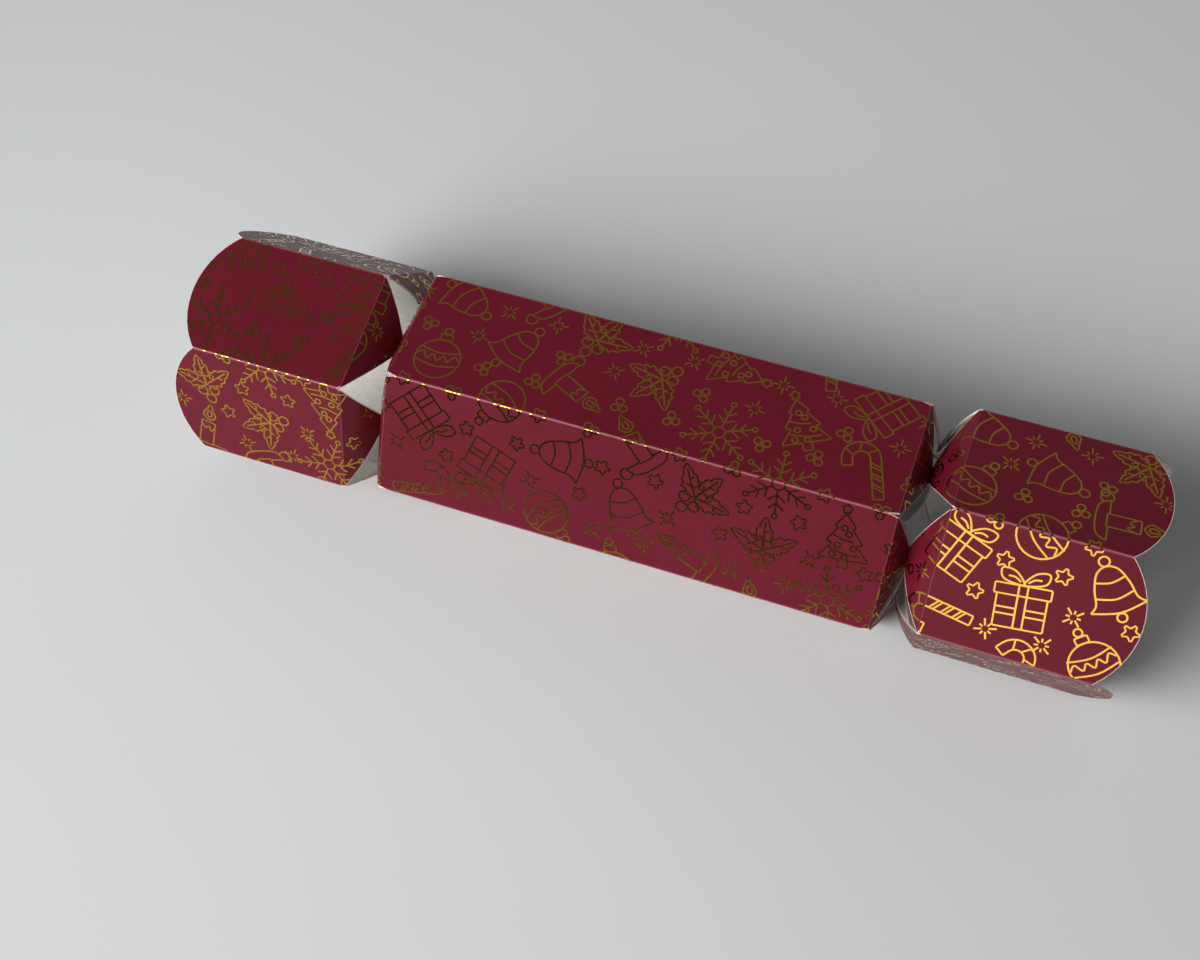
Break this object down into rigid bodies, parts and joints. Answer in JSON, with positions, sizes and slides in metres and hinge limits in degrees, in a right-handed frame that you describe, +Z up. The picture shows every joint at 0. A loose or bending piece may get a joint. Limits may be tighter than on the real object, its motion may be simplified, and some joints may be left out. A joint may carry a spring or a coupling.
{
  "type": "christmas cracker",
  "caption": "Hexagonal folded-card cracker with a long barrel, pinched bow-tie necks and scalloped tails that pull off, holding a snap, paper hat, motto and small gift.",
  "frame": {"origin": "on the cracker's long axis, half-way along the barrel, which is the centre of the part's box", "axes": "+X along the cracker towards the right-hand tail, +Z up, square to the barrel's top panel; the barrel's bottom panel faces -Z"},
  "size_m": [0.2418, 0.064, 0.0608],
  "materials": {
    "printed_card": "satin burgundy print with gold foil lines outside, white inside",
    "snap_card": "plain buff card strip",
    "sleeve_paper": "thin white paper band",
    "friction_coat": "dull brown-grey friction coat",
    "tissue": "thin green tissue paper",
    "motto_paper": "plain white slip",
    "turned_wood": "waxed turned beech"
  },
  "bodies": {
    "barrel": {"barrel_panel_top": "printed_card", "barrel_panel_front_upper": "printed_card", "barrel_panel_front_lower": "printed_card", "barrel_panel_bottom": "printed_card", "barrel_panel_back_lower": "printed_card", "barrel_panel_back_upper": "printed_card", "barrel_glue_tab": "printed_card", "paper_hat": "tissue", "motto_slip": "motto_paper", "gift_spinning_top": "turned_wood"},
    "left_tail": {"left_tail_panel_top": "printed_card", "left_tail_panel_front_upper": "printed_card", "left_tail_panel_front_lower": "printed_card", "left_tail_panel_bottom": "printed_card", "left_tail_panel_back_lower": "printed_card", "left_tail_panel_back_upper": "printed_card", "left_tail_glue_tab": "printed_card", "snap_strip_left": "snap_card", "snap_patch_left": "friction_coat", "snap_sleeve": "sleeve_paper"},
    "left_barrel_flap_top": {"left_barrel_flap_top": "printed_card"},
    "left_barrel_flap_front_upper": {"left_barrel_flap_front_upper": "printed_card"},
    "left_barrel_flap_front_lower": {"left_barrel_flap_front_lower": "printed_card"},
    "left_barrel_flap_bottom": {"left_barrel_flap_bottom": "printed_card"},
    "left_barrel_flap_back_lower": {"left_barrel_flap_back_lower": "printed_card"},
    "left_barrel_flap_back_upper": {"left_barrel_flap_back_upper": "printed_card"},
    "left_tail_flap_top": {"left_tail_flap_top": "printed_card"},
    "left_tail_flap_front_upper": {"left_tail_flap_front_upper": "printed_card"},
    "left_tail_flap_front_lower": {"left_tail_flap_front_lower": "printed_card"},
    "left_tail_flap_bottom": {"left_tail_flap_bottom": "printed_card"},
    "left_tail_flap_back_lower": {"left_tail_flap_back_lower": "printed_card"},
    "left_tail_flap_back_upper": {"left_tail_flap_back_upper": "printed_card"},
    "right_tail": {"right_tail_panel_top": "printed_card", "right_tail_panel_front_upper": "printed_card", "right_tail_panel_front_lower": "printed_card", "right_tail_panel_bottom": "printed_card", "right_tail_panel_back_lower": "printed_card", "right_tail_panel_back_upper": "printed_card", "right_tail_glue_tab": "printed_card", "snap_strip_right": "snap_card", "snap_patch_right": "friction_coat"},
    "right_barrel_flap_top": {"right_barrel_flap_top": "printed_card"},
    "right_barrel_flap_front_upper": {"right_barrel_flap_front_upper": "printed_card"},
    "right_barrel_flap_front_lower": {"right_barrel_flap_front_lower": "printed_card"},
    "right_barrel_flap_bottom": {"right_barrel_flap_bottom": "printed_card"},
    "right_barrel_flap_back_lower": {"right_barrel_flap_back_lower": "printed_card"},
    "right_barrel_flap_back_upper": {"right_barrel_flap_back_upper": "printed_card"},
    "right_tail_flap_top": {"right_tail_flap_top": "printed_card"},
    "right_tail_flap_front_upper": {"right_tail_flap_front_upper": "printed_card"},
    "right_tail_flap_front_lower": {"right_tail_flap_front_lower": "printed_card"},
    "right_tail_flap_bottom": {"right_tail_flap_bottom": "printed_card"},
    "right_tail_flap_back_lower": {"right_tail_flap_back_lower": "printed_card"},
    "right_tail_flap_back_upper": {"right_tail_flap_back_upper": "printed_card"}
  },
  "joints": [
    {"name": "left_pull", "type": "slide", "parent": "barrel", "child": "left_tail", "axis": [-1, 0, 0], "range_m": [0, 0.045]},
    {"name": "left_barrel_flap_top_crease", "type": "hinge", "parent": "barrel", "child": "left_barrel_flap_top", "pos_m": [-0.063, 0, 0.02726], "axis": [0, 1, 0], "range_deg": [0, 66.2]},
    {"name": "left_barrel_flap_front_upper_crease", "type": "hinge", "parent": "barrel", "child": "left_barrel_flap_front_upper", "pos_m": [-0.063, -0.02361, 0.01363], "axis": [0, 0.5, 0.866], "range_deg": [0, 66.2]},
    {"name": "left_barrel_flap_front_lower_crease", "type": "hinge", "parent": "barrel", "child": "left_barrel_flap_front_lower", "pos_m": [-0.063, -0.02361, -0.01363], "axis": [0, -0.5, 0.866], "range_deg": [0, 66.2]},
    {"name": "left_barrel_flap_bottom_crease", "type": "hinge", "parent": "barrel", "child": "left_barrel_flap_bottom", "pos_m": [-0.063, 0, -0.02726], "axis": [0, -1, 0], "range_deg": [0, 66.2]},
    {"name": "left_barrel_flap_back_lower_crease", "type": "hinge", "parent": "barrel", "child": "left_barrel_flap_back_lower", "pos_m": [-0.063, 0.02361, -0.01363], "axis": [0, -0.5, -0.866], "range_deg": [0, 66.2]},
    {"name": "left_barrel_flap_back_upper_crease", "type": "hinge", "parent": "barrel", "child": "left_barrel_flap_back_upper", "pos_m": [-0.063, 0.02361, 0.01363], "axis": [0, 0.5, -0.866], "range_deg": [0, 66.2]},
    {"name": "left_tail_flap_top_crease", "type": "hinge", "parent": "left_tail", "child": "left_tail_flap_top", "pos_m": [-0.074, -0.00567, 0.02667], "axis": [0, -0.9781, -0.2079], "range_deg": [0, 51.9]},
    {"name": "left_tail_flap_front_upper_crease", "type": "hinge", "parent": "left_tail", "child": "left_tail_flap_front_upper", "pos_m": [-0.074, -0.02593, 0.00842], "axis": [0, -0.309, -0.9511], "range_deg": [0, 51.9]},
    {"name": "left_tail_flap_front_lower_crease", "type": "hinge", "parent": "left_tail", "child": "left_tail_flap_front_lower", "pos_m": [-0.074, -0.02026, -0.01824], "axis": [0, 0.6691, -0.7431], "range_deg": [0, 51.9]},
    {"name": "left_tail_flap_bottom_crease", "type": "hinge", "parent": "left_tail", "child": "left_tail_flap_bottom", "pos_m": [-0.074, 0.00567, -0.02667], "axis": [0, 0.9781, 0.2079], "range_deg": [0, 51.9]},
    {"name": "left_tail_flap_back_lower_crease", "type": "hinge", "parent": "left_tail", "child": "left_tail_flap_back_lower", "pos_m": [-0.074, 0.02593, -0.00842], "axis": [0, 0.309, 0.9511], "range_deg": [0, 51.9]},
    {"name": "left_tail_flap_back_upper_crease", "type": "hinge", "parent": "left_tail", "child": "left_tail_flap_back_upper", "pos_m": [-0.074, 0.02026, 0.01824], "axis": [0, -0.6691, 0.7431], "range_deg": [0, 51.9]},
    {"name": "right_pull", "type": "slide", "parent": "barrel", "child": "right_tail", "axis": [1, 0, 0], "range_m": [0, 0.045]},
    {"name": "right_barrel_flap_top_crease", "type": "hinge", "parent": "barrel", "child": "right_barrel_flap_top", "pos_m": [0.063, 0, 0.02726], "axis": [0, -1, 0], "range_deg": [0, 66.2]},
    {"name": "right_barrel_flap_front_upper_crease", "type": "hinge", "parent": "barrel", "child": "right_barrel_flap_front_upper", "pos_m": [0.063, -0.02361, 0.01363], "axis": [0, -0.5, -0.866], "range_deg": [0, 66.2]},
    {"name": "right_barrel_flap_front_lower_crease", "type": "hinge", "parent": "barrel", "child": "right_barrel_flap_front_lower", "pos_m": [0.063, -0.02361, -0.01363], "axis": [0, 0.5, -0.866], "range_deg": [0, 66.2]},
    {"name": "right_barrel_flap_bottom_crease", "type": "hinge", "parent": "barrel", "child": "right_barrel_flap_bottom", "pos_m": [0.063, 0, -0.02726], "axis": [0, 1, 0], "range_deg": [0, 66.2]},
    {"name": "right_barrel_flap_back_lower_crease", "type": "hinge", "parent": "barrel", "child": "right_barrel_flap_back_lower", "pos_m": [0.063, 0.02361, -0.01363], "axis": [0, 0.5, 0.866], "range_deg": [0, 66.2]},
    {"name": "right_barrel_flap_back_upper_crease", "type": "hinge", "parent": "barrel", "child": "right_barrel_flap_back_upper", "pos_m": [0.063, 0.02361, 0.01363], "axis": [0, -0.5, 0.866], "range_deg": [0, 66.2]},
    {"name": "right_tail_flap_top_crease", "type": "hinge", "parent": "right_tail", "child": "right_tail_flap_top", "pos_m": [0.074, 0.00426, 0.02693], "axis": [0, 0.9877, -0.1564], "range_deg": [0, 51.9]},
    {"name": "right_tail_flap_front_upper_crease", "type": "hinge", "parent": "right_tail", "child": "right_tail_flap_front_upper", "pos_m": [0.074, -0.02119, 0.01716], "axis": [0, 0.6293, 0.7771], "range_deg": [0, 51.9]},
    {"name": "right_tail_flap_front_lower_crease", "type": "hinge", "parent": "right_tail", "child": "right_tail_flap_front_lower", "pos_m": [0.074, -0.02545, -0.00977], "axis": [0, -0.3584, 0.9336], "range_deg": [0, 51.9]},
    {"name": "right_tail_flap_bottom_crease", "type": "hinge", "parent": "right_tail", "child": "right_tail_flap_bottom", "pos_m": [0.074, -0.00426, -0.02693], "axis": [0, -0.9877, 0.1564], "range_deg": [0, 51.9]},
    {"name": "right_tail_flap_back_lower_crease", "type": "hinge", "parent": "right_tail", "child": "right_tail_flap_back_lower", "pos_m": [0.074, 0.02119, -0.01716], "axis": [0, -0.6293, -0.7771], "range_deg": [0, 51.9]},
    {"name": "right_tail_flap_back_upper_crease", "type": "hinge", "parent": "right_tail", "child": "right_tail_flap_back_upper", "pos_m": [0.074, 0.02545, 0.00977], "axis": [0, 0.3584, -0.9336], "range_deg": [0, 51.9]}
  ],
  "couplings": [
    {"joint": "left_barrel_flap_top_crease", "follows": "left_pull", "rad_per_m": 25.637},
    {"joint": "left_barrel_flap_front_upper_crease", "follows": "left_pull", "rad_per_m": 25.637},
    {"joint": "left_barrel_flap_front_lower_crease", "follows": "left_pull", "rad_per_m": 25.637},
    {"joint": "left_barrel_flap_bottom_crease", "follows": "left_pull", "rad_per_m": 25.637},
    {"joint": "left_barrel_flap_back_lower_crease", "follows": "left_pull", "rad_per_m": 25.637},
    {"joint": "left_barrel_flap_back_upper_crease", "follows": "left_pull", "rad_per_m": 25.637},
    {"joint": "left_tail_flap_top_crease", "follows": "left_pull", "rad_per_m": 20.091},
    {"joint": "left_tail_flap_front_upper_crease", "follows": "left_pull", "rad_per_m": 20.091},
    {"joint": "left_tail_flap_front_lower_crease", "follows": "left_pull", "rad_per_m": 20.091},
    {"joint": "left_tail_flap_bottom_crease", "follows": "left_pull", "rad_per_m": 20.091},
    {"joint": "left_tail_flap_back_lower_crease", "follows": "left_pull", "rad_per_m": 20.091},
    {"joint": "left_tail_flap_back_upper_crease", "follows": "left_pull", "rad_per_m": 20.091},
    {"joint": "right_barrel_flap_top_crease", "follows": "right_pull", "rad_per_m": 25.637},
    {"joint": "right_barrel_flap_front_upper_crease", "follows": "right_pull", "rad_per_m": 25.637},
    {"joint": "right_barrel_flap_front_lower_crease", "follows": "right_pull", "rad_per_m": 25.637},
    {"joint": "right_barrel_flap_bottom_crease", "follows": "right_pull", "rad_per_m": 25.637},
    {"joint": "right_barrel_flap_back_lower_crease", "follows": "right_pull", "rad_per_m": 25.637},
    {"joint": "right_barrel_flap_back_upper_crease", "follows": "right_pull", "rad_per_m": 25.637},
    {"joint": "right_tail_flap_top_crease", "follows": "right_pull", "rad_per_m": 20.091},
    {"joint": "right_tail_flap_front_upper_crease", "follows": "right_pull", "rad_per_m": 20.091},
    {"joint": "right_tail_flap_front_lower_crease", "follows": "right_pull", "rad_per_m": 20.091},
    {"joint": "right_tail_flap_bottom_crease", "follows": "right_pull", "rad_per_m": 20.091},
    {"joint": "right_tail_flap_back_lower_crease", "follows": "right_pull", "rad_per_m": 20.091},
    {"joint": "right_tail_flap_back_upper_crease", "follows": "right_pull", "rad_per_m": 20.091}
  ]
}
